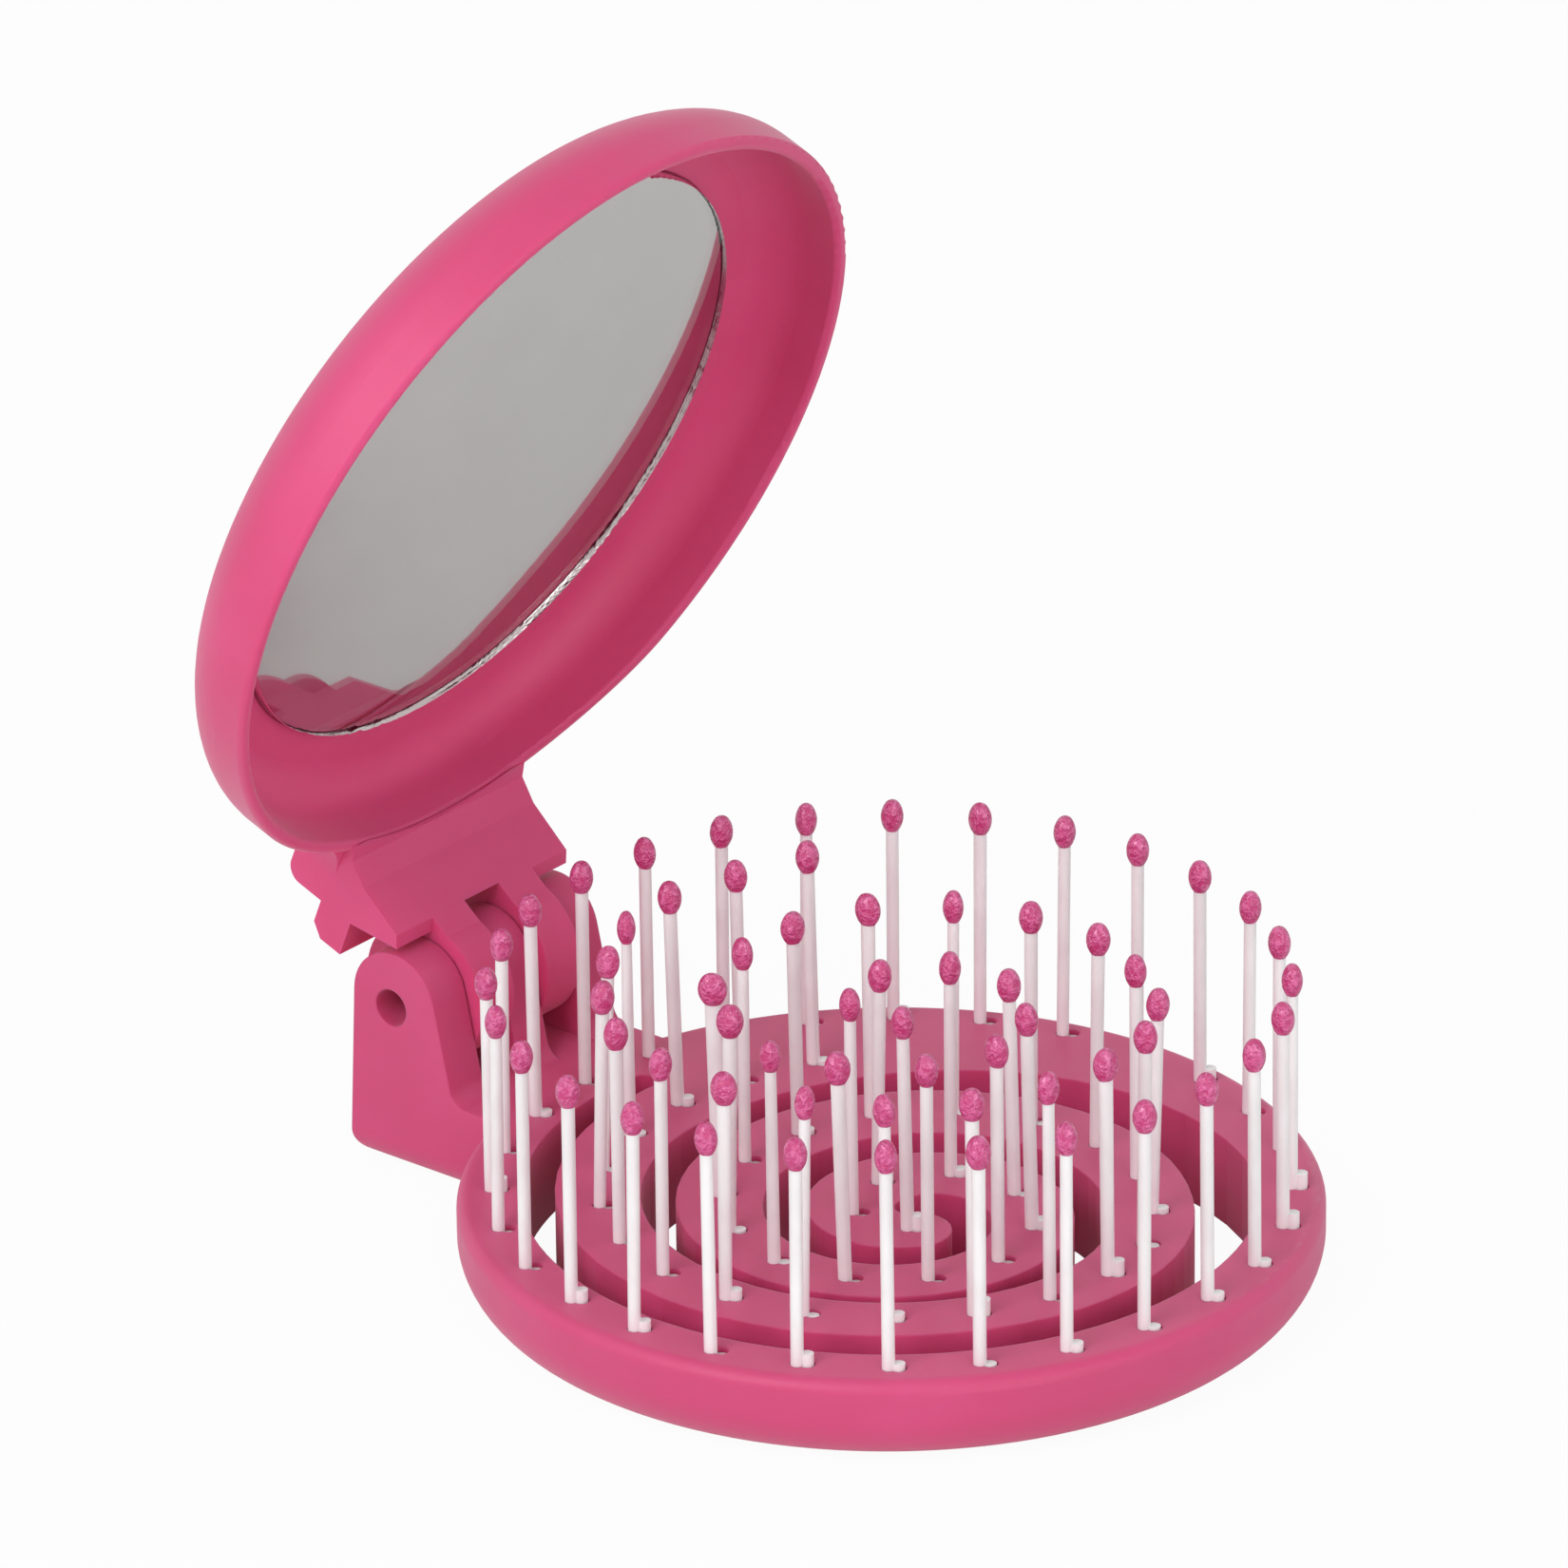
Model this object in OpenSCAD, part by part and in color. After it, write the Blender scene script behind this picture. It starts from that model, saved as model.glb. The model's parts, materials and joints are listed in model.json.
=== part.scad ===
// Folding hairbrush with mirror.
// A round moulded plate carries nylon bristles, some on its rim and some on one
// flexible strip that a spiral slot leaves free. A dished lid with a glass mirror
// turns on a steel pin through three ears at the back of the plate.
// Frame: origin at the centre of the plate's underside, +Z up, +Y towards the hinge.

/* [Brush plate] */
// Outer diameter of the plate, and of the lid above it
plate_d = 63.4; // [60:0.2:72]
// Thickness of the plate
plate_t = 6.9; // [6:0.1:8]
// Width of the solid rim
rim_w = 4.7; // [4.7:0.1:6]
// Rounding of the rim's lower edge
rim_low_r = 4.1; // [1:0.1:4.6]
// Rounding of the rim's upper edge
rim_top_r = 1; // [0.4:0.1:1.2]

/* [Spiral strip] */
// Mean width of the flexible strip
strip_w = 6.25; // [5.8:0.05:6.6]
// How much the strip is wider on its far side and narrower on its near side
strip_swell = 0.5; // [0:0.05:0.6]
// Gap between the rim and the strip's first turn
rim_gap = 2.5; // [1.5:0.05:3]
// Gap between the turns further in
turn_gap = 4.45; // [4:0.05:4.8]
// How far the inner turns are off the plate's centre
strip_offset = 4.1; // [3:0.1:4.6]
// Direction in which the inner turns are off centre
offset_dir = -119; // [-130:1:-110]
// Radius of the strip's centreline at its free end
hub_r = 2.8; // [2.4:0.1:3.6]

/* [Bristles] */
// Diameter of the nylon filament
bristle_d = 0.95; // [0.85:0.05:1.2]
// Height of the bristle tips above the plate
bristle_h = 17.9; // [15:0.05:21]
// Number of bristles around the rim
rim_bristle_count = 28; // [20:1:32]
// Distance of the rim's bristles from its outer edge
rim_bristle_inset = 2.55; // [2.4:0.05:2.9]
// Spacing of the bristles along the strip
strip_bristle_gap = 6.15; // [5.5:0.05:7]
// Direction from each bristle to the short leg beside it
leg_dir = -50; // [-60:1:-40]
// Distance between a bristle and its short leg, centre to centre
leg_offset = 0.72; // [0.6:0.02:0.8]
// Height of the lowest short leg above the plate, below 0 where it is sunk
leg_low = -0.4; // [-0.8:0.05:-0.2]
// Height of the highest short leg above the plate
leg_high = 1.2; // [0.6:0.05:1.6]
// Depth of the blind holes that hold the two legs
leg_hole_depth = 3; // [2:0.1:4]
// Diameter of the dipped tip
tip_d = 1.7; // [1.55:0.05:2]
// Height of the dipped tip
tip_h = 2.65; // [2.4:0.05:3.2]

/* [Hinge] */
// Distance of the hinge axis behind the plate's edge
hinge_reach = 8.15; // [8:0.05:9]
// Height of the hinge axis above the plate
hinge_up = 6.4; // [6.3:0.05:7.5]
// Overall width of the three ears and of their foot
hinge_w = 18.8; // [18:0.1:22]
// Thickness of each outer ear
ear_w = 3.6; // [3:0.1:4]
// Thickness of the middle ear
mid_ear_w = 3.5; // [2.5:0.1:4]
// Rounding of the ears' tops
ear_top_r = 3.9; // [3.6:0.05:4.1]
// Rounding of the foot's lower edges
foot_edge_r = 2.4; // [1:0.1:3]
// Radius of the knuckles about the hinge axis
knuckle_r = 5.6; // [5.2:0.05:5.8]
// Diameter of the hinge pin
pin_d = 2.9; // [2:0.1:3]
// Depth of the pin's ends below the ears' outer faces
pin_recess = 2.6; // [1:0.1:2.8]
// Gap between an ear and a knuckle beside it
side_gap = 0.15; // [0.1:0.05:0.3]

/* [Lid] */
// Opening angle of the lid, measured from closed
open_angle = 68.5; // [0:0.5:140]
// Depth of the dish from its lip to the mirror
dish_depth = 4.9; // [4:0.1:5.8]
// Width of the lip
lip_w = 1.1; // [1:0.05:1.2]
// Thickness of the lid's back
lid_back_t = 1; // [0.8:0.1:2]
// Rounding of the lid's back edge
lid_back_r = 4.5; // [2:0.1:4.8]
// Fillet between the dish's floor and wall
dish_fillet_r = 3; // [2:0.1:3.4]
// Width of the arm that joins the lid to the hinge
arm_w = 19.4; // [17:0.1:22]
// Fillets between the arm's sides and the lid's wall
neck_fillet_r = 4; // [1:0.1:5]
// Height of those fillets
neck_fillet_h = 2.4; // [1:0.1:3]

/* [Mirror] */
// Diameter of the mirror
mirror_d = 49.4; // [40:0.2:51]
// Thickness of the mirror's glass
glass_t = 1; // [0.8:0.1:2]
// Width of the bevel around the glass's front edge
glass_bevel = 0.3; // [0.1:0.05:0.5]
// Thickness of the silvering and its protective paint
silvering_t = 0.1; // [0.06:0.01:0.2]
// Thickness of the double-sided tape
tape_t = 0.2; // [0.1:0.05:0.5]
// Diameter of the tape
tape_d = 40; // [30:0.5:40]
// Gap between the closed lid's mirror and the bristle tips
mirror_gap = 0.9; // [0.4:0.05:1.5]

/* [Clearances] */
// Radial gap of the pin in the ears
ear_bore_gap = 0.02; // [0.01:0.01:0.04]
// Radial gap of the pin in the lid's knuckles
knuckle_bore_gap = 0.06; // [0.03:0.01:0.1]
// Radial gap of a bristle in its hole and in its tip
filament_gap = 0.02; // [0.01:0.01:0.04]
// Gap around the mirror in its seat
mirror_seat_gap = 0.15; // [0.05:0.05:0.3]

/* [Hidden] */
$fn = 48;

// Cutters run this far past the faces that they cut
past = 0.1;

// Plate and spiral
plate_r = plate_d / 2;
rim_in_r = plate_r - rim_w;
spiral_r = rim_in_r - rim_gap - strip_w / 2;
pitch = strip_w + turn_gap;
spiral_start = -50;
spiral_step = 6;
root_span = 150;
root_from = -20;
root_rise = strip_w + rim_gap + 0.25;
tip_at = 134;
web_step = 5;
web_steps = 12;
slot_tip_ease = 0.03;
offset_from = 255;
offset_span = 120;
inward_from = 400;
hub_span = 210;
hub_slack = 4.4;
inward_drop = spiral_r - strip_offset - hub_r + hub_slack * settle(hub_span / 360);
strip_end = inward_from + 360 * (inward_drop / pitch + 0.075);

// Bristles
wire_r = bristle_d / 2;
bristle_hole_r = wire_r + filament_gap;
leg_hole_r = wire_r + 6 * filament_gap;
rim_bristle_r = plate_r - rim_bristle_inset;
first_strip_bristle = 104;
tip_z = bristle_h - tip_h / 2;
tip_end_r = 0.76 * tip_d / 2;

// Hinge
axis_y = plate_r + hinge_reach;
axis_z = plate_t + hinge_up;
pin_r = pin_d / 2;
knuckle_out = hinge_w / 2 - ear_w - side_gap;
slot_half = mid_ear_w / 2 + side_gap + 0.05;
ear_top = [axis_y - 0.3, axis_z + 0.55];
ear_front = [axis_y - 5.85, plate_t];
ear_back = [axis_y + 4.2, 2];
foot_root = rim_in_r + 0.5;
ear_fillet_r = 1.5;

// Lid: s runs along the lid from the hinge axis, n the way the mirror faces
lid_r = plate_r;
lid_s = axis_y;
mirror_n = hinge_up - bristle_h - mirror_gap;
lip_n = mirror_n + dish_depth;
ledge_n = mirror_n - glass_t;
seat_n = ledge_n - silvering_t - tape_t;
back_n = seat_n - lid_back_t;
wall_s = lid_s - lid_r;
mirror_r = mirror_d / 2;
dish_r = lid_r - lip_w;
pocket_n = -5.5;
pocket_s = 4.25;
lug_n = -8.55;
lug_s = 1.2;
lug_corner = 1;
arm_low_s = 4.2;
arm_back_n = back_n + 2.6;
arm_corner_r = 1.3;
shelf_corner = [6.2, -1.4];
shelf_top = [7.8, -5.4];

// Smooth rise from 0 to 1 as u goes from 0 to 1
function smooth(u) =
    let (v = max(0, min(1, u)))
    v * v * (3 - 2 * v);

// Straight line through u - 0.075 that starts softly from 0
function settle(u) =
    u <= 0 ? 0
    : u < 0.15 ? u * u / 0.3
    : u - 0.075;

// Unit vector at angle a
function dir(a) = [cos(a), sin(a)];

// Radius of the strip's centreline at turn angle t
function strip_r(t) =
    spiral_r
    + root_rise * (1 - smooth((t - root_from) / root_span))
    - strip_offset * smooth((t - offset_from) / offset_span)
    - pitch * settle((t - inward_from) / 360)
    + hub_slack * settle((t - strip_end + hub_span) / 360);

// Half the strip's width at turn angle t
function strip_half(t) =
    strip_w / 2
    + strip_swell * sin(t)
    + strip_swell * smooth((t - strip_end + 140) / 140);

// Centre about which the strip turns at turn angle t
function strip_centre(t) =
    strip_offset * smooth((t - offset_from) / offset_span) * dir(offset_dir);

// Point at radius r of the turn at angle t
function strip_point(t, r) = strip_centre(t) + max(0.2, r) * dir(t + spiral_start);

// Turn angles of the strip's bristles, one every strip_bristle_gap along it
function strip_angles(t) =
    t > strip_end - 2 ? []
    : concat([t], strip_angles(t + strip_bristle_gap / strip_r(t) * 180 / PI));

// Point at height z on the line through p and q
function at_height(p, q, z) = p + (q - p) * (z - p.y) / (q.y - p.y);

// Point where the tangent from p touches the circle of radius r about c
function tangent_point(p, c, r, side) =
    let (
        d = norm(c - p),
        a = atan2(c.y - p.y, c.x - p.x) + side * asin(r / d)
    )
    p + sqrt(d * d - r * r) * dir(a);

outer_turn = [for (t = strip_angles(first_strip_bristle)) if (t < first_strip_bristle + 360) t];
inner_turn = [for (t = strip_angles(first_strip_bristle)) if (t >= first_strip_bristle + 360) t];

// Profile in Y and Z, extruded to width w across the hinge
module across(w, x = 0) {
    translate([x, 0, 0])
        rotate([90, 0, 90])
            linear_extrude(w, center = true)
                children();
}

// Profile in s and n, extruded to width w across the lid
module across_lid(w, x = 0) {
    translate([x, 0, 0])
        rotate(180, [1, 0, 1])
            linear_extrude(w, center = true)
                children();
}

// Lid's own frame: s up and n towards -Y, put at the opening angle
module lid_frame() {
    translate([0, axis_y, axis_z])
        rotate([90 - open_angle, 0, 0])
            children();
}

// Centre of the lid's disc, with +Z the way the mirror faces
module dish_frame() {
    translate([0, 0, lid_s])
        rotate([90, 0, 0])
            children();
}

// Half section of a disc with rounded lower and upper edges
module disc_section(r, t, low_r, top_r) {
    square([r - low_r, t - top_r]);
    translate([0, low_r])
        square([r, t - low_r - top_r]);
    translate([0, low_r])
        square([r - top_r, t - low_r]);
    translate([r - low_r, low_r])
        intersection() {
            circle(low_r);
            translate([-low_r, -low_r])
                square([2 * low_r, low_r]);
        }
    translate([r - top_r, t - top_r])
        circle(top_r);
}

// Outline of the flexible strip with its rounded free end
module strip_outline() {
    angles = concat([for (t = [root_from : spiral_step : strip_end]) t], [strip_end]);
    outer = [for (t = angles) strip_point(t, strip_r(t) + strip_half(t))];
    inner = [for (t = angles) strip_point(t, strip_r(t) - strip_half(t))];
    last = len(angles) - 1;
    middle = (outer[last] + inner[last]) / 2;
    out = outer[last] - middle;
    ahead = [-out.y, out.x];
    polygon(concat(
        outer,
        [for (a = [15 : 15 : 165]) middle + cos(a) * out + sin(a) * ahead],
        [for (i = [last : -1 : 0]) inner[i]]
    ));
}

// Web that joins the strip's root to the rim, up to the slot's round tip
module root_web() {
    angles = [for (i = [0 : web_steps]) tip_at + (i - web_steps) * web_step];
    tip_r = spiral_r + strip_half(tip_at);
    difference() {
        polygon(concat(
            [for (t = angles) (rim_in_r + 1) * dir(t + spiral_start)],
            [for (i = [web_steps : -1 : 0]) spiral_r * dir(angles[i] + spiral_start)]
        ));
        translate((tip_r + rim_in_r) / 2 * dir(tip_at + spiral_start))
            circle((rim_in_r - tip_r) / 2 + slot_tip_ease);
    }
}

// The spiral slot, seen from above
module slot_outline() {
    difference() {
        circle(rim_in_r, $fn = 96);
        strip_outline();
        root_web();
    }
}

// One ear's side outline: round top about the pin, leaning front and back edges
module ear_outline() {
    front = tangent_point(ear_front, ear_top, ear_top_r, 1);
    back = tangent_point(ear_back, ear_top, ear_top_r, -1);
    translate(ear_top)
        circle(ear_top_r);
    polygon([ear_front, front, ear_top, back, ear_back, [ear_front.x, ear_back.y]]);
}

// Hollow fillet at the foot of an ear's leaning front edge
module ear_fillet() {
    front = tangent_point(ear_front, ear_top, ear_top_r, 1);
    lean = atan2(front.x - ear_front.x, front.y - ear_front.y);
    centre = ear_front + ear_fillet_r * [tan(lean) - 1 / cos(lean), 1];
    difference() {
        polygon([
            [centre.x, plate_t - 1],
            [ear_front.x + 1, plate_t - 1],
            centre + ear_fillet_r * dir(-lean),
            [centre.x, centre.y]
        ]);
        translate(centre)
            circle(ear_fillet_r);
    }
}

// Side outline of the foot that joins the ears to the rim, on the ears' back line
module foot_outline() {
    back = tangent_point(ear_back, ear_top, ear_top_r, -1);
    polygon([
        [foot_root, 0],
        [ear_back.x - ear_back.y, 0],
        [ear_back.x - ear_back.y, ear_back.y],
        ear_back,
        at_height(ear_back, back, plate_t),
        [foot_root, plate_t]
    ]);
    translate([ear_back.x - ear_back.y, ear_back.y])
        circle(ear_back.y);
}

// Front view of foot and ears, with the foot's lower edges rounded
module foot_section() {
    top = axis_z + 2 * ear_top_r;
    translate([-hinge_w / 2, foot_edge_r])
        square([hinge_w, top - foot_edge_r]);
    translate([foot_edge_r - hinge_w / 2, 0])
        square([hinge_w - 2 * foot_edge_r, foot_edge_r]);
    for (side = [-1, 1])
        translate([side * (hinge_w / 2 - foot_edge_r), foot_edge_r])
            circle(foot_edge_r);
}

// Three ears on one foot
module ears() {
    outer_x = (hinge_w - ear_w) / 2;
    intersection() {
        union() {
            across(hinge_w)
                foot_outline();
            for (ear = [[-outer_x, ear_w], [0, mid_ear_w], [outer_x, ear_w]])
                across(ear[1], ear[0]) {
                    ear_outline();
                    ear_fillet();
                }
        }
        translate([0, 2 * axis_y, 0])
            rotate([90, 0, 0])
                linear_extrude(2 * axis_y)
                    foot_section();
    }
}

// Cut heights of the short legs, more of them near the lowest
function leg_tops(count, seed) =
    [for (r = rands(0, 1, count, seed)) leg_low + (leg_high - leg_low) * r * r];

// Every bristle's place on the plate, for one of the three groups
module at_rim_bristles() {
    tops = leg_tops(rim_bristle_count, 11);
    for (i = [0 : rim_bristle_count - 1])
        rotate(90 + i * 360 / rim_bristle_count)
            translate([rim_bristle_r, 0, plate_t])
                rotate(leg_dir - 90 - i * 360 / rim_bristle_count) {
                    $leg_top = tops[i];
                    children();
                }
}

module at_strip_bristles(turn_angles) {
    tops = leg_tops(len(turn_angles), 23);
    for (i = [0 : len(turn_angles) - 1])
        translate(concat(strip_point(turn_angles[i], strip_r(turn_angles[i])), [plate_t]))
            rotate(leg_dir) {
                $leg_top = tops[i];
                children();
            }
}

// Blind holes, running into each other, that hold a filament's two legs
module leg_holes() {
    translate([0, 0, -leg_hole_depth])
        cylinder(h = leg_hole_depth + past, r = bristle_hole_r);
    translate([leg_offset, 0, -leg_hole_depth])
        cylinder(h = leg_hole_depth + past, r = leg_hole_r);
}

// Filament: the upright bristle, and beside it the short leg cut off near the plate
module bristle() {
    translate([0, 0, -leg_hole_depth])
        cylinder(h = leg_hole_depth + tip_z, r = wire_r);
    translate([leg_offset, 0, -leg_hole_depth])
        cylinder(h = leg_hole_depth + $leg_top, r = wire_r);
}

// Dipped tip: a round end and tangent sides that run down to the filament inside
module tip() {
    end_z = tip_h / 2 - tip_end_r;
    side_r = (pow(tip_d / 2, 2) + pow(end_z, 2) - pow(tip_end_r, 2)) / (tip_d - 2 * tip_end_r);
    meet_z = side_r * end_z / (side_r - tip_end_r);
    translate([0, 0, tip_z])
        rotate_extrude()
            difference() {
                intersection() {
                    union() {
                        translate([0, end_z])
                            circle(tip_end_r);
                        intersection() {
                            translate([tip_d / 2 - side_r, 0])
                                circle(side_r, $fn = 96);
                            translate([0, -tip_h])
                                square([tip_d, tip_h + meet_z]);
                        }
                    }
                    translate([0, -tip_h])
                        square([tip_d, 2 * tip_h]);
                }
                translate([0, -tip_h])
                    square([wire_r + filament_gap, tip_h]);
            }
}

module brush_plate() {
    color("palevioletred")
        difference() {
            union() {
                rotate_extrude($fn = 96)
                    disc_section(plate_r, plate_t, rim_low_r, rim_top_r);
                ears();
            }
            translate([0, 0, -past])
                linear_extrude(plate_t + 2 * past)
                    slot_outline();
            translate([-hinge_w, axis_y, axis_z])
                rotate([0, 90, 0])
                    cylinder(h = 2 * hinge_w, r = pin_r + ear_bore_gap);
            at_rim_bristles()
                leg_holes();
            at_strip_bristles(concat(outer_turn, inner_turn))
                leg_holes();
        }
}

module rim_bristles() {
    color("white")
        at_rim_bristles()
            bristle();
}

module outer_turn_bristles() {
    color("white")
        at_strip_bristles(outer_turn)
            bristle();
}

module inner_turn_bristles() {
    color("white")
        at_strip_bristles(inner_turn)
            bristle();
}

module rim_tips() {
    color("hotpink")
        at_rim_bristles()
            tip();
}

module outer_turn_tips() {
    color("hotpink")
        at_strip_bristles(outer_turn)
            tip();
}

module inner_turn_tips() {
    color("hotpink")
        at_strip_bristles(inner_turn)
            tip();
}

module hinge_pin() {
    length = hinge_w - 2 * pin_recess;
    chamfer = 0.25;
    color("silver")
        translate([-length / 2, axis_y, axis_z])
            rotate([0, 90, 0])
                rotate_extrude()
                    polygon([
                        [0, 0],
                        [pin_r - chamfer, 0],
                        [pin_r, chamfer],
                        [pin_r, length - chamfer],
                        [pin_r - chamfer, length],
                        [0, length]
                    ]);
}

// Side outline of the arm: shelf below the lip, low back, and the lug that stops the lid
module arm_outline() {
    touch = tangent_point(shelf_corner, [0, 0], knuckle_r - 0.2, -1);
    polygon([
        [wall_s + 2.6, arm_back_n],
        [wall_s + 2.6, lip_n],
        [wall_s + 1, lip_n + 0.4],
        shelf_top,
        shelf_corner,
        touch,
        [0, 0],
        [lug_s, pocket_n + 1],
        [lug_s, lug_n + lug_corner],
        [lug_s + lug_corner, lug_n],
        [arm_low_s, lug_n],
        [arm_low_s, arm_back_n + arm_corner_r],
        [arm_low_s + arm_corner_r, arm_back_n + arm_corner_r],
        [arm_low_s + arm_corner_r, arm_back_n]
    ]);
    translate([arm_low_s + arm_corner_r, arm_back_n + arm_corner_r])
        circle(arm_corner_r);
}

// Side outline of the web between the lug and a knuckle
module heel_outline() {
    corner = [lug_s, lug_n + lug_corner];
    polygon([
        [0, 0],
        tangent_point(corner, [0, 0], knuckle_r, -1),
        corner,
        [lug_s + lug_corner, lug_n],
        [arm_low_s, lug_n]
    ]);
}

// What the arm leaves free above an outer ear
module pocket_outline() {
    polygon([
        [-2 * knuckle_r, pocket_n],
        [pocket_s, pocket_n],
        [pocket_s + 0.9, -1.05],
        shelf_corner,
        [shelf_corner.x + 1.5, shelf_corner.y - 0.5],
        [shelf_corner.x + 1.5, 2 * knuckle_r],
        [-2 * knuckle_r, 2 * knuckle_r]
    ]);
}

// Plan fillet between the arm's side and the lid's round wall
module neck_fillet() {
    x = arm_w / 2 + neck_fillet_r;
    s = lid_s - sqrt(pow(lid_r + neck_fillet_r, 2) - pow(x, 2));
    touch = [0, lid_s] + lid_r / (lid_r + neck_fillet_r) * [x, s - lid_s];
    difference() {
        polygon([
            [arm_w / 2 - 1, s],
            [x, s],
            touch,
            [touch.x, touch.y + 0.7],
            [arm_w / 2 - 1, touch.y + 0.7]
        ]);
        translate([x, s])
            circle(neck_fillet_r);
    }
}

module lid_shell() {
    color("palevioletred")
        lid_frame()
            difference() {
                union() {
                    dish_frame()
                        translate([0, 0, back_n])
                            rotate_extrude($fn = 96)
                                disc_section(lid_r, lip_n - back_n, lid_back_r, 0.5 * lip_w);
                    across_lid(arm_w)
                        arm_outline();
                    across_lid(2 * knuckle_out)
                        heel_outline();
                    rotate([0, 90, 0])
                        cylinder(h = 2 * knuckle_out, r = knuckle_r, center = true);
                    for (side = [-1, 1])
                        scale([side, 1, 1])
                            rotate([90, 0, 0])
                                translate([0, 0, lip_n - 0.5 * lip_w - neck_fillet_h])
                                    linear_extrude(neck_fillet_h)
                                        neck_fillet();
                }
                dish_frame()
                    rotate_extrude($fn = 96)
                        dish_cut();
                for (side = [-1, 1])
                    across_lid(2 * ear_w, side * (knuckle_out + ear_w))
                        pocket_outline();
                rotate([0, 90, 0])
                    cylinder(h = 2 * slot_half, r = knuckle_r + 0.8, center = true);
                rotate([0, 90, 0])
                    cylinder(h = 2 * hinge_w, r = pin_r + knuckle_bore_gap, center = true);
            }
}

// Half section of the hollow: seat for the mirror, floor, filleted wall, rounded lip
module dish_cut() {
    open_h = 2 * dish_depth;
    lip_in_r = 0.35 * lip_w;
    translate([0, seat_n])
        square([mirror_r + mirror_seat_gap, open_h]);
    translate([0, ledge_n])
        square([dish_r - dish_fillet_r, open_h]);
    translate([0, ledge_n + dish_fillet_r])
        square([dish_r, open_h]);
    translate([dish_r - dish_fillet_r, ledge_n + dish_fillet_r])
        circle(dish_fillet_r);
    difference() {
        translate([dish_r - past, lip_n - lip_in_r])
            square([lip_in_r + past, lip_in_r + past]);
        translate([dish_r + lip_in_r, lip_n - lip_in_r])
            circle(lip_in_r);
    }
}

// Flat disc against the lid's mirror seat, from depth n to n + t
module mirror_layer(d, n, t) {
    lid_frame()
        dish_frame()
            translate([0, 0, n])
                cylinder(h = t, d = d, $fn = 96);
}

module mirror_glass() {
    color("lightgray")
        lid_frame()
            dish_frame()
                translate([0, 0, ledge_n])
                    rotate_extrude($fn = 96)
                        polygon([
                            [0, 0],
                            [mirror_r, 0],
                            [mirror_r, glass_t - glass_bevel],
                            [mirror_r - glass_bevel, glass_t],
                            [0, glass_t]
                        ]);
}

module mirror_silvering() {
    color("silver")
        mirror_layer(mirror_d, ledge_n - silvering_t, silvering_t);
}

module mirror_tape() {
    color("whitesmoke")
        mirror_layer(tape_d, seat_n, tape_t);
}

brush_plate();
rim_bristles();
outer_turn_bristles();
inner_turn_bristles();
rim_tips();
outer_turn_tips();
inner_turn_tips();
hinge_pin();
lid_shell();
mirror_glass();
mirror_silvering();
mirror_tape();
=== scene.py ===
# %% [markdown]
# # A folding hairbrush with a mirror in its lid
#
# The real object is two mouldings of satin pink plastic on a steel pin, with upright nylon
# filaments whose ends were dipped in resin, and a small round mirror. Its shapes come from the
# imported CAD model. This lesson gives them their finishes, deepens the dish in the lid, chips the
# mirror's edge, lets the filaments lean, and sets up the light and the camera.

import json
import math

import bmesh
import bpy
from mathutils import Matrix, Vector, noise


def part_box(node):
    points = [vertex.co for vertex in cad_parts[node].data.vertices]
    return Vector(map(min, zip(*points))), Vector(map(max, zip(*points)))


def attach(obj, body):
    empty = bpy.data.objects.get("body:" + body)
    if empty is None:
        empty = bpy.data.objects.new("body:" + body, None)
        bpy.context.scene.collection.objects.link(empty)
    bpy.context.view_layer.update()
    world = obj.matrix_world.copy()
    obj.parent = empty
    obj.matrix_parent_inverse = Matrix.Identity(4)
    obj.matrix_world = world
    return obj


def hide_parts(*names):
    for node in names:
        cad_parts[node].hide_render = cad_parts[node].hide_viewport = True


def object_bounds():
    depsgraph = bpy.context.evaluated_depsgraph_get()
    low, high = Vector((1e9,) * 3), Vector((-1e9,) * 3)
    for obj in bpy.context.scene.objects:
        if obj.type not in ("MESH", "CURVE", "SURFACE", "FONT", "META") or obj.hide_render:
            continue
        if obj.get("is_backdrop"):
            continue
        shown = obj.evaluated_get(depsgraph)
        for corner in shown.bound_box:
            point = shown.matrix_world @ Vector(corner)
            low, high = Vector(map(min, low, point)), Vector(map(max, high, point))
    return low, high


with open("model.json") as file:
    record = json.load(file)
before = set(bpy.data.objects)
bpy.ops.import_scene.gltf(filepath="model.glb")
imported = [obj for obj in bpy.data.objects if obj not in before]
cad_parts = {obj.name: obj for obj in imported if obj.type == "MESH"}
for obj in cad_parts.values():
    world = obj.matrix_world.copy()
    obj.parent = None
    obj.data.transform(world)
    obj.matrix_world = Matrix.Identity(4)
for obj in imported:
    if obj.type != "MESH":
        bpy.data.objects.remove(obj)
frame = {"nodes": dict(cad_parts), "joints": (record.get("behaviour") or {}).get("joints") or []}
nodes = frame["nodes"]
cad_box = [list(corner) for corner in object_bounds()]
print("nodes:", ", ".join(sorted(nodes)))
print("CAD box in mm:", [[round(1000 * v, 1) for v in corner] for corner in cad_box])

# %% [markdown]
# The hinge says where the lid is. The joint's lower limit is the angle from the lid as it stands
# to the lid when shut, so it gives the direction in which the mirror faces. Measuring this from
# the model keeps every later piece in place if the CAD changes. The mirror stands at a slant, so
# its box in Y spans the slanting disc and the glass's thickness, and the thickness follows.

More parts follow.
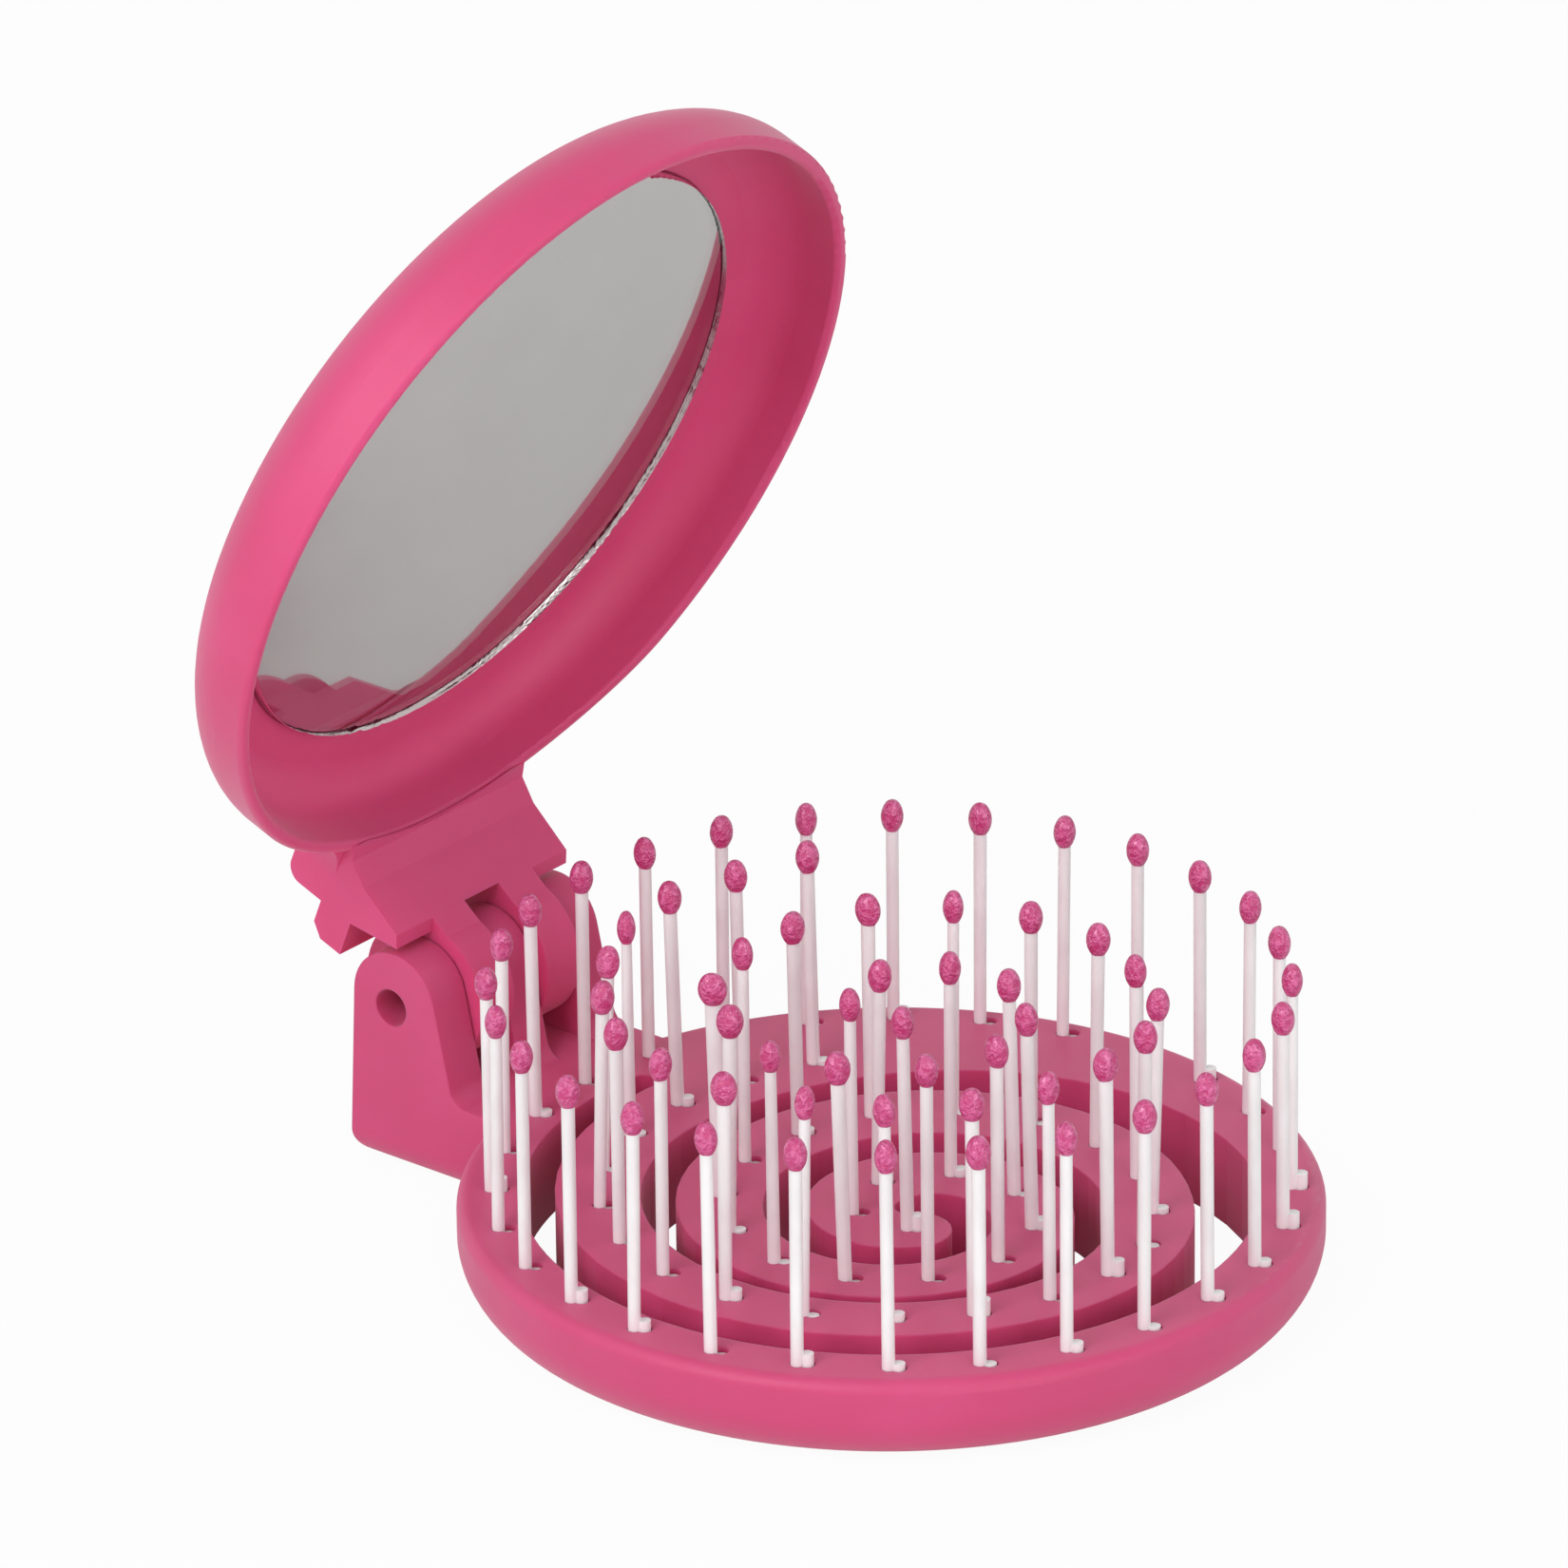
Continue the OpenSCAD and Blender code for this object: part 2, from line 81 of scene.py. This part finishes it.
# %% Where the lid and its mirror are
MM = 0.001
hinge = frame["joints"][0]
hinge_point = Vector(hinge["pos_m"])
open_angle = math.radians(-hinge["range_deg"][0])
facing = Vector((0, -math.sin(open_angle), -math.cos(open_angle)))
along_lid = Vector((0, -math.cos(open_angle), math.sin(open_angle)))
glass_low, glass_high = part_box("mirror_glass")
glass_middle = (glass_low + glass_high) / 2
glass_r = (glass_high.x - glass_low.x) / 2
glass_t = (glass_high.y - glass_low.y - 2 * glass_r * abs(facing.z)) / abs(facing.y)
print(f"lid open by {math.degrees(open_angle):.1f} degrees")
print(f"mirror {2000 * glass_r:.1f} mm across, {1000 * glass_t:.2f} mm thick")

# %% [markdown]
# A material in Blender is a graph of nodes. Writing it as sums and products is easier to read,
# so a small class wraps a socket and adds a Math node for each operator. A second class holds
# one graph: `add` makes any other node, with its settings first and its sockets after. A third
# is a graph that starts from the Principled shader, which suits every finish on the brush.

# %% Shader maths as expressions
class Wire:
    """One output socket. Arithmetic on it adds Math nodes."""

    def __init__(self, graph, socket):
        self.graph = graph
        self.socket = socket

    def _math(self, operation, first, second):
        return self.graph.add("ShaderNodeMath", {"operation": operation}, {0: first, 1: second})

    def __add__(self, other):
        return self._math("ADD", self, other)

    def __radd__(self, other):
        return self._math("ADD", other, self)

    def __sub__(self, other):
        return self._math("SUBTRACT", self, other)

    def __rsub__(self, other):
        return self._math("SUBTRACT", other, self)

    def __mul__(self, other):
        return self._math("MULTIPLY", self, other)

    def __rmul__(self, other):
        return self._math("MULTIPLY", other, self)


class Graph:
    """The nodes of one material or world."""

    def __init__(self, owner):
        owner.use_nodes = True
        self.tree = owner.node_tree

    def add(self, kind, settings=None, sockets=None, output=0):
        node = self.tree.nodes.new(kind)
        for name, value in (settings or {}).items():
            setattr(node, name, value)
        for name, value in (sockets or {}).items():
            self._feed(node.inputs[name], value)
        return Wire(self, node.outputs[output])

    def show(self, shader):
        """Makes this shader the graph's result."""
        result = next(node for node in self.tree.nodes if node.type.startswith("OUTPUT_"))
        self._feed(result.inputs["Surface"], shader)

    def _feed(self, socket, value):
        if isinstance(value, Wire):
            self.tree.links.new(value.socket, socket)
        else:
            socket.default_value = value


class Finish(Graph):
    """One material, on Blender's Principled shader."""

    def __init__(self, name, **constants):
        self.material = bpy.data.materials.new(name)
        super().__init__(self.material)
        self.principled = self.tree.nodes["Principled BSDF"]
        self.place = self.add("ShaderNodeTexCoord", output="Object")
        for socket, value in constants.items():
            self.set(socket.replace("_", " "), value)

    def set(self, socket, value):
        self._feed(self.principled.inputs[socket], value)

    def shader(self):
        return Wire(self, self.principled.outputs[0])


print("shader helpers ready")

# %% [markdown]
# Every finish needs a few of the same patterns. Noise is measured here by the size of its
# lumps in millimetres, because that is how one judges it on a real surface. A height becomes
# relief through a Bump node, whose distance is the depth of the relief.

# %% Patterns that the finishes share
def paint(red, green, blue):
    """Colour as painted: 0 to 255 on a screen, turned to the linear values Blender uses."""
    def linear(value):
        v = value / 255
        return v / 12.92 if v <= 0.04045 else ((v + 0.055) / 1.055) ** 2.4
    return (linear(red), linear(green), linear(blue), 1)


def lumps(finish, size_mm, detail=2.0, stretch=(1, 1, 1)):
    """Soft noise between 0 and 1, with lumps of about that size."""
    place = finish.add(
        "ShaderNodeMapping", {}, {"Vector": finish.place, "Scale": tuple(1 / s for s in stretch)}
    )
    return finish.add(
        "ShaderNodeTexNoise", {}, {"Vector": place, "Scale": 1000 / size_mm, "Detail": detail}
    )


def between(finish, share, low, high):
    """share stretched so that low becomes 0 and high becomes 1, and cut off outside."""
    return finish.add(
        "ShaderNodeMapRange",
        {"interpolation_type": "SMOOTHSTEP"},
        {"Value": share, "From Min": low, "From Max": high},
    )


def mixed(finish, share, first, second):
    """first where share is 0, second where it is 1."""
    return finish.add(
        "ShaderNodeMix", {"data_type": "RGBA"}, {0: share, 6: first, 7: second}, output=2
    )


def relief(finish, height, depth_mm, strength, edge_mm=0.0):
    """Relief of that depth. With edge_mm, sharp edges also shade as if rounded by that much."""
    sockets = {"Height": height, "Distance": depth_mm * MM, "Strength": strength}
    if edge_mm:
        sockets["Normal"] = finish.add("ShaderNodeBevel", {"samples": 4}, {"Radius": edge_mm * MM})
    finish.set("Normal", finish.add("ShaderNodeBump", {}, sockets))


print("patterns ready")

# %% [markdown]
# A CAD node whose shape is right only needs a better material, which its mesh carries.


def wear_finish(node, finish):
    """Gives a CAD node its finish."""
    piece = nodes[node]
    piece.data.materials.clear()
    piece.data.materials.append(finish.material)
    print(f"{node}: {finish.material.name}")


print("finishes can be put on")

# %% [markdown]
# The plate and the lid are one plastic, moulded in a fine spark-eroded tool that leaves a satin
# skin. Close up the skin is a grain of about a sixth of a millimetre, over a slow waviness where
# the plastic shrank. The pink is a little uneven, and a few specks of dust sit on it.
# A Voronoi pattern makes the specks: it gives the distance to the nearest of many scattered
# points, and only the points' very middles become dust. Its colour is drawn by lot for each
# point, and only the points with the most red in it carry a speck.
#
# The plate's sharp edges shade as if worn round by a fifth of a millimetre. The lid does without,
# because its lip is a wall of narrow facets, and rounded shading would make some of them flash.

# %% Satin pink plastic
SPECK_CORE = 0.6
SPECK_LOTS = (0.86, 0.9)
DUST_COVER = 0.7
GRAIN_MM = 0.012
SINK_MM = 0.05
DUST_MM = 0.05


def dust_specks(finish, spacing_mm, radius_mm):
    """1 on small scattered specks, 0 elsewhere. Only some of the points carry a speck."""
    cells = {"Vector": finish.place, "Scale": 1000 / spacing_mm}
    distance = finish.add("ShaderNodeTexVoronoi", {}, cells)
    lot = finish.add("ShaderNodeTexVoronoi", {}, cells, output="Color")
    drawn = finish.add("ShaderNodeSeparateColor", {}, {0: lot})
    core = SPECK_CORE * radius_mm / spacing_mm
    near = 1 - between(finish, distance, core, radius_mm / spacing_mm)
    return near * between(finish, drawn, *SPECK_LOTS)


def satin_plastic(name, colour, deep, edge_mm):
    """Pink plastic that varies between two shades, with its edges worn by edge_mm."""
    finish = Finish(
        name,
        Specular_IOR_Level=0.45,
        Subsurface_Weight=0.35,
        Subsurface_Radius=(1.0, 0.2, 0.32),
        Subsurface_Scale=2.0 * MM,
        Sheen_Weight=0.2,
        Sheen_Roughness=0.45,
    )
    flow = lumps(finish, size_mm=14, detail=3, stretch=(1.6, 1, 1))
    grain = lumps(finish, size_mm=0.16)
    sink = lumps(finish, size_mm=5, detail=1)
    dust = dust_specks(finish, spacing_mm=6, radius_mm=0.14)
    pink = mixed(finish, between(finish, flow, low=0.35, high=0.65), deep, colour)
    dust_colour = paint(244, 222, 230)
    finish.set("Base Color", mixed(finish, dust * DUST_COVER, pink, dust_colour))
    finish.set("Roughness", 0.44 + 0.08 * flow + 0.06 * grain + 0.2 * dust)
    height_mm = GRAIN_MM * grain + SINK_MM * sink + DUST_MM * dust
    relief(finish, height_mm, depth_mm=1.0, strength=0.5, edge_mm=edge_mm)
    return finish


plate_pink = satin_plastic("plate_pink", paint(217, 78, 131), paint(212, 72, 124), edge_mm=0.22)
# The lid's pink is a little lighter than the plate's, though both are one plastic: painted light
# that pales the lid's outer wall and lifts the shade in its dish.
lid_pink = satin_plastic("lid_pink", paint(225, 79, 134), paint(220, 73, 127), edge_mm=0)
wear_finish("brush_plate", plate_pink)
wear_finish("lid_shell", lid_pink)

# %% [markdown]
# Nylon filament is drawn through a die, so faint lines run along it, and light goes a little way
# into it. It is nearly white. Stretching the noise along the filament makes the draw lines.

# %% Drawn nylon
nylon = Finish(
    "drawn_nylon",
    Subsurface_Weight=0.35,
    Subsurface_Radius=(1.0, 0.9, 0.9),
    Subsurface_Scale=0.6 * MM,
    Specular_IOR_Level=0.55,
    IOR=1.53,
)
draw_lines = lumps(nylon, size_mm=0.12, stretch=(1, 1, 60))
cloud = lumps(nylon, size_mm=2.5, stretch=(1, 1, 2))
milky = paint(243, 239, 240)
pale = paint(252, 251, 251)
nylon.set("Base Color", mixed(nylon, between(nylon, cloud, low=0.3, high=0.7), milky, pale))
nylon.set("Roughness", 0.26 + 0.12 * draw_lines)
relief(nylon, draw_lines, depth_mm=0.02, strength=0.6)
for group in ("rim_bristles", "outer_turn_bristles", "inner_turn_bristles"):
    wear_finish(group, nylon)

# %% [markdown]
# The tips were dipped in thick pink resin, which set with a pitted, lumpy skin. It is glossy, so
# each lump catches its own small highlight. Two sizes of noise make the lumps, about two parts of
# the coarse one to one of the fine. The hollows between them are rougher and carry less of the
# glossy coat. The colour is painted deeper in the hollows and lighter on the lumps, as painted
# shade and painted light that follow the relief.

# %% Dipped resin
resin = Finish("dipped_resin", Specular_IOR_Level=0.6, Coat_Roughness=0.12)
blobs = lumps(resin, size_mm=0.5)
pits = lumps(resin, size_mm=0.2, detail=1)
height = between(resin, blobs * 0.65 + pits * 0.35, low=0.36, high=0.64)
# Painted shade and light: a deeper pink in the hollows and a lighter one on the lumps.
resin.set("Base Color", mixed(resin, height, paint(204, 58, 122), paint(231, 102, 163)))
resin.set("Roughness", 0.38 - 0.18 * height)
resin.set("Coat Weight", 0.5 * height)
relief(resin, height, depth_mm=0.12, strength=0.9)
for group in ("rim_tips", "outer_turn_tips", "inner_turn_tips"):
    wear_finish(group, resin)

# %% [markdown]
# Drawn steel has fine lines along the wire, some brighter and some duller. The pin lies along X,
# so the noise is stretched along X.

# %% Drawn steel pin
steel = Finish("drawn_steel", Metallic=1.0)
wire_lines = lumps(steel, size_mm=0.08, detail=3, stretch=(80, 1, 1))
steel.set("Base Color", mixed(steel, wire_lines, paint(170, 168, 166), paint(205, 204, 202)))
steel.set("Roughness", 0.25 + 0.2 * wire_lines)
relief(steel, wire_lines, depth_mm=0.01, strength=0.6)
wear_finish("hinge_pin", steel)

# %% [markdown]
# A mirror is clear glass with silver behind it, and the silver does the reflecting. It is almost
# perfectly smooth, with a haze so faint that it only takes the edge off the reflection. Tape
# holds it in the lid. Nobody sees the tape, but it gets a finish too: a pale foam with small
# cells.

# %% Silvering and tape
silver = Finish("silvering", Metallic=1.0)
haze = lumps(silver, size_mm=6, detail=3)
silver.set("Base Color", mixed(silver, haze, paint(216, 211, 210), paint(222, 218, 217)))
silver.set("Roughness", 0.01 + 0.015 * haze)
wear_finish("mirror_silvering", silver)

tape = Finish("foam_tape", Specular_IOR_Level=0.2)
cells = lumps(tape, size_mm=0.25)
tape.set("Base Color", mixed(tape, cells, paint(222, 221, 216), paint(242, 241, 238)))
tape.set("Roughness", 0.75 + 0.15 * cells)
relief(tape, cells, depth_mm=0.06, strength=0.7)
wear_finish("mirror_tape", tape)

# %% [markdown]
# Where a visible shape differs from the CAD node, the node stays as it is and a new piece stands
# for it. The simplest such piece is a copy of the node's mesh whose points are moved by a rule.
# The copy keeps the finish and rides on the node's body. The CAD leaves slivers with no area at the
# poles of the round tips, and for the tips these are dissolved first.

# %% A piece that stands for a node
def stand_for(piece, node, body):
    """Shows this piece in place of a CAD node."""
    bpy.context.scene.collection.objects.link(piece)
    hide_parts(node)
    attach(piece, body)


SLIVER = 0.0002 * MM


def reshaped(node, body, name, shift, poles=False):
    """A copy of a CAD node's mesh, each point moved by shift(point). poles dissolves slivers."""
    piece = bpy.data.objects.new(name, nodes[node].data.copy())
    mesh = bmesh.new()
    mesh.from_mesh(piece.data)
    if poles:
        bmesh.ops.dissolve_degenerate(mesh, dist=SLIVER, edges=mesh.edges)
    shifts = [shift(point.co) for point in mesh.verts]
    for point, move in zip(mesh.verts, shifts):
        point.co += move
    mesh.to_mesh(piece.data)
    mesh.free()
    stand_for(piece, node, body)
    print(f"{name}: moved by up to {max(move.length for move in shifts) / MM:.2f} mm")


print("node replacement ready")

# %% [markdown]
# The lid's lip stands a little further forward than in the CAD, which makes the dish around the
# mirror deeper and widens the pink band that the mirror shows. The whole outer wall moves along
# the way that the mirror faces. The move fades to nothing towards the mirror's ledge and the
# flat back, and towards the hinge, so that these stay where the CAD has them.

# %% Deeper dish in the lid
LIP_RISE = 0.7 * MM
BACK_FLAT_R = 27.2 * MM
LID_R = 31.7 * MM
ARM_START, ARM_END = 8 * MM, 18 * MM


def ease(share):
    """A smooth step: 0 up to 0, 1 from 1, and a soft S between."""
    share = max(0, min(1, share))
    return share * share * (3 - 2 * share)


def lip_rise(point):
    """How far this point of the lid moves forward."""
    from_glass = point - glass_middle
    outward = (from_glass - from_glass.dot(facing) * facing).length
    from_hinge = (point - hinge_point).dot(along_lid)
    share = ease((outward - BACK_FLAT_R) / (LID_R - BACK_FLAT_R))
    share *= ease((from_hinge - ARM_START) / (ARM_END - ARM_START))
    return share * LIP_RISE * facing


reshaped("lid_shell", "lid", "lid_dish", lip_rise)

# %% [markdown]
# The glass was cut out with a wheel, snapped free and quickly ground. Its edge is a steep wall
# with a narrow bevel, nearly regular where the wheel ran well and chipped where it did not. Seen
# through the glass, this wall and its image in the silver throw the light back and glint. The
# pane is built here as rings of points around the mirror's middle, from the back to the face.
# The rings at the edge wander inwards by a noise, most where a chip broke away. The noise gives
# the same edge each time, and a different number as its third coordinate gives each ring its own.
#
# The chips are the product of two noises: broad patches where the edge broke at all, and fine
# teeth within them. The pane's back stays a hair in front of the silvering, so that the two
# never lie in one plane.

# %% The mirror's pane with its chipped bevel
PANE_STEPS = 640
SEAT_GAP = 0.02 * MM
BEVEL = 0.08 * MM
CHIP = 0.16 * MM
BACK_CHIP = 0.6 * CHIP
WALL_CHIP = 0.3 * CHIP
FACE_CHIP = 1.5 * CHIP
FACE_RING = 1.5 * MM
PATCHES = 3.1
PATCH_LIFT = 0.15
TEETH = 55
CHIP_GAIN = 2.6
CLEAR, GROUND, SILVERED = 0, 1, 2


def chip(angle, seed):
    """0 to 1 around the pane: how much the grinding broke away at that angle."""
    around = Vector((math.cos(angle), math.sin(angle), seed))
    patch = max(0, noise.noise(PATCHES * around) + PATCH_LIFT)
    tooth = abs(noise.noise(TEETH * around))
    return min(1, CHIP_GAIN * patch * tooth)


def pane_outline(angle):
    """Radius and depth of each ring at that angle, from the back to the face."""
    back = -glass_t / 2 + SEAT_GAP
    front = glass_t / 2
    broken = chip(angle, 2.0)
    return (
        (glass_r - BACK_CHIP * chip(angle, 4.0), back),
        (glass_r - WALL_CHIP * chip(angle, 7.0), back + 0.5 * glass_t),
        (glass_r - CHIP * broken, front - BEVEL - CHIP * broken),
        (glass_r - BEVEL - FACE_CHIP * broken, front),
        (glass_r - FACE_RING, front),
    )


def pane_mesh():
    mesh = bmesh.new()
    across = Vector((1, 0, 0))
    angles = [2 * math.pi * i / PANE_STEPS for i in range(PANE_STEPS)]
    rings = []
    for outline in zip(*(pane_outline(angle) for angle in angles)):
        ring = []
        for angle, (radius, depth) in zip(angles, outline):
            out = math.cos(angle) * across + math.sin(angle) * along_lid
            ring.append(mesh.verts.new(glass_middle + radius * out + depth * facing))
        rings.append(ring)
    for lower, upper in zip(rings, rings[1:]):
        for i in range(PANE_STEPS):
            j = (i + 1) % PANE_STEPS
            face = mesh.faces.new((lower[i], lower[j], upper[j], upper[i]))
            face.material_index = CLEAR if upper is rings[-1] else GROUND
    mesh.faces.new(rings[-1]).material_index = CLEAR
    mesh.faces.new(reversed(rings[0])).material_index = SILVERED
    bmesh.ops.recalc_face_normals(mesh, faces=mesh.faces)
    data = bpy.data.meshes.new("mirror_pane")
    mesh.to_mesh(data)
    mesh.free()
    return data


pane = bpy.data.objects.new("mirror_pane", pane_mesh())
print("pane:", len(pane.data.vertices), "points")

# %% [markdown]
# Clear glass lets the silver on its back be seen. The ground edge is seen from inside the glass,
# where its facets throw nearly all the light back, so it gets a bright metal's reflection. Fine
# scratches break the glint up. The back wears the silver.

# %% Clear and ground glass
clear_glass = Finish(
    "clear_glass", Transmission_Weight=1.0, IOR=1.52, Roughness=0.0, Base_Color=paint(246, 250, 248)
)
ground_glass = Finish("ground_glass", IOR=1.52, Metallic=1.0)
scratches = lumps(ground_glass, size_mm=0.3, detail=4)
dull = paint(226, 220, 222)
bright = paint(255, 255, 255)
ground_glass.set("Base Color", mixed(ground_glass, scratches, dull, bright))
ground_glass.set("Roughness", 0.03 + 0.12 * scratches)
relief(ground_glass, scratches, depth_mm=0.03, strength=0.8)
for skin in (clear_glass, ground_glass, silver):
    pane.data.materials.append(skin.material)
stand_for(pane, "mirror_glass", "lid")
print("mirror_pane:", ", ".join(skin.name for skin in pane.data.materials))

# %% [markdown]
# Real filaments never stand quite parallel. Each leans a little from its foot, and its tip leans
# with it. The lean is a soft noise over the plate, so a shaft and its tip, which stand at the
# same place, lean alike. It grows from nothing near the foot to its full reach at the tip. The
# reach is for a noise of 1, which it seldom comes near, so the largest move is shorter. The
# filaments on the rim lean less, so that the lid's wall passes them when it shuts.
#
# Blender's vector noise is shifted by a random state that differs from run to run, so it gets a
# fixed seed first. The plain noise of the glass's edge needs none.

# %% Lean of the filaments
LEAN = 1.1 * MM
RIM_LEAN = 0.5 * MM
LEAN_START = 8.5 * MM
LEAN_LUMP = 7.3 * MM
LEAN_CURVE = 1.5
NOISE_LEVEL = LEAN_LUMP / 3
LEAN_SEED = 1
bristle_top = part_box("rim_tips")[1].z
noise.seed_set(LEAN_SEED)


def leaning(reach):
    """The rule that moves a filament's points, with this reach at the tip."""
    def lean(point):
        share = max(0, (point.z - LEAN_START) / (bristle_top - LEAN_START)) ** LEAN_CURVE
        sway = noise.noise_vector(Vector((point.x, point.y, NOISE_LEVEL)) / LEAN_LUMP)
        return share * reach * Vector((sway.x, sway.y, 0))
    return lean


for group in ("rim", "outer_turn", "inner_turn"):
    rule = leaning(RIM_LEAN if group == "rim" else LEAN)
    for kind in ("bristles", "tips"):
        node = f"{group}_{kind}"
        reshaped(node, "brush", f"leaning_{node}", rule, poles=kind == "tips")

# %% [markdown]
# The floor is plain white. A Light Path node tells what kind of ray looks at it. To the camera
# the floor is nearly a white light of its own. In the mirror, in gloss and through glass it shows
# some of that white, and the rest is an ordinary matt floor, which keeps the brush's soft shadow
# and lights it from below.

# %% White floor
WHITE = (1, 1, 1, 1)
FLOOR_COLOUR = (0.89, 0.89, 0.89, 1)
CAMERA_WHITE = 0.95
GLOSS_WHITE = 0.15
FLOOR_HALF = 3.0
FLOOR_DROP = 0.05 * MM


def ray(graph, kind):
    """1 for rays of that kind, 0 for the rest."""
    return graph.add("ShaderNodeLightPath", output=f"Is {kind} Ray")


def either(graph, first, second):
    """1 where at least one of the two is 1."""
    return graph.add("ShaderNodeMath", {"operation": "MAXIMUM"}, {0: first, 1: second})


floor_finish = Finish("studio_floor", Base_Color=FLOOR_COLOUR, Roughness=0.9)
gloss = either(floor_finish, ray(floor_finish, "Glossy"), ray(floor_finish, "Transmission"))
share = CAMERA_WHITE * ray(floor_finish, "Camera") + GLOSS_WHITE * gloss
glow = floor_finish.add("ShaderNodeEmission", {}, {"Color": WHITE, "Strength": 1.0})
floor_finish.show(
    floor_finish.add("ShaderNodeMixShader", {}, {0: share, 1: floor_finish.shader(), 2: glow})
)
corners = ((-1, -1), (1, -1), (1, 1), (-1, 1))
floor_mesh = bpy.data.meshes.new("floor")
floor_mesh.from_pydata(
    [(x * FLOOR_HALF, y * FLOOR_HALF, -FLOOR_DROP) for x, y in corners], [], [(0, 1, 2, 3)]
)
floor = bpy.data.objects.new("floor", floor_mesh)
floor.data.materials.append(floor_finish.material)
bpy.context.scene.collection.objects.link(floor)
floor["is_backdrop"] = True
print("floor:", 2 * FLOOR_HALF, "m square")

# %% [markdown]
# Around the floor is the world. It is white to the camera, in gloss and through glass. As a light
# it is dimmer, and fills the shadows from all sides.

# %% World
SKY_LIGHT = 0.44
world = bpy.data.worlds.new("studio")
bpy.context.scene.world = world
sky = Graph(world)
seen = either(sky, ray(sky, "Camera"), either(sky, ray(sky, "Glossy"), ray(sky, "Transmission")))
lit = sky.add("ShaderNodeBackground", {}, {"Color": WHITE, "Strength": SKY_LIGHT})
plain = sky.add("ShaderNodeBackground", {}, {"Color": WHITE, "Strength": 1.0})
sky.show(sky.add("ShaderNodeMixShader", {}, {0: seen, 1: lit, 2: plain}))
print("world lights at", SKY_LIGHT, "and shows white")

# %% [markdown]
# Product light is soft: one large lamp above and to the left of the camera draws the lid's light
# band, and a weaker one to its right keeps the shaded side open. Both are large squares, so
# shadows are soft. Their power is set so that a colour renders about as it is written.

# %% Lamps
def lamp(name, power, size, place, target=(0, 0, 0.03)):
    light = bpy.data.lights.new(name, "AREA")
    light.energy = power
    light.size = size
    holder = bpy.data.objects.new(name, light)
    holder.location = place
    holder.rotation_euler = (Vector(target) - Vector(place)).to_track_quat("-Z", "Y").to_euler()
    bpy.context.scene.collection.objects.link(holder)
    print(name, power, "W")


lamp("key", 6.8, 0.7, (-0.95, 0.02, 0.74))
lamp("fill", 3.6, 0.8, (-0.25, -1.1, 0.35))

# %% [markdown]
# The brush is seen from a distance with a long lens, which keeps circles close to true ellipses.
# The camera is placed by its direction and its distance from a point just above the plate's
# centre. A sideways and upward step then frames the lid, and a roll turns the picture by less
# than a degree. The lens is written in pixels of a picture 1650 pixels wide.

# %% Camera
PICTURE = 1650
SENSOR = 36
LENS_PIXELS = 13980.76
FAR_END = 20
AIM = Vector((0, 0, 0.0069))
VIEW_TURN = math.radians(50.4)
VIEW_DOWN = math.radians(24.2446)
VIEW_ROLL = math.radians(-0.6399)
DISTANCE = 0.9682
STEP_RIGHT = -0.00747
STEP_UP = 0.02953

camera_data = bpy.data.cameras.new("camera")
camera_data.sensor_fit = "HORIZONTAL"
camera_data.sensor_width = SENSOR
camera_data.lens = LENS_PIXELS / PICTURE * SENSOR
camera_data.clip_end = FAR_END
camera = bpy.data.objects.new("camera", camera_data)

turn = Matrix.Rotation(-VIEW_TURN, 3, "Z")
ahead = turn @ Vector((0, math.cos(VIEW_DOWN), -math.sin(VIEW_DOWN)))
level = turn @ Vector((1, 0, 0))
upward = turn @ Vector((0, math.sin(VIEW_DOWN), math.cos(VIEW_DOWN)))
right = math.cos(VIEW_ROLL) * level + math.sin(VIEW_ROLL) * upward
up = math.cos(VIEW_ROLL) * upward - math.sin(VIEW_ROLL) * level
place = AIM - DISTANCE * ahead + STEP_RIGHT * level + STEP_UP * upward
camera.matrix_world = Matrix.Translation(place) @ Matrix((right, up, -ahead)).transposed().to_4x4()
bpy.context.scene.collection.objects.link(camera)
bpy.context.scene.camera = camera
bpy.context.scene.view_settings.view_transform = "Standard"
print("camera at", [round(v, 3) for v in place])

# %% [markdown]
# The finished look must keep the CAD's size.

# %% Sizes and finish
seen_box = [list(corner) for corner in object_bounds()]
changes = [abs(a - b) for cad, seen in zip(cad_box, seen_box) for a, b in zip(cad, seen)]
print("largest change in mm:", round(max(changes) / MM, 2))
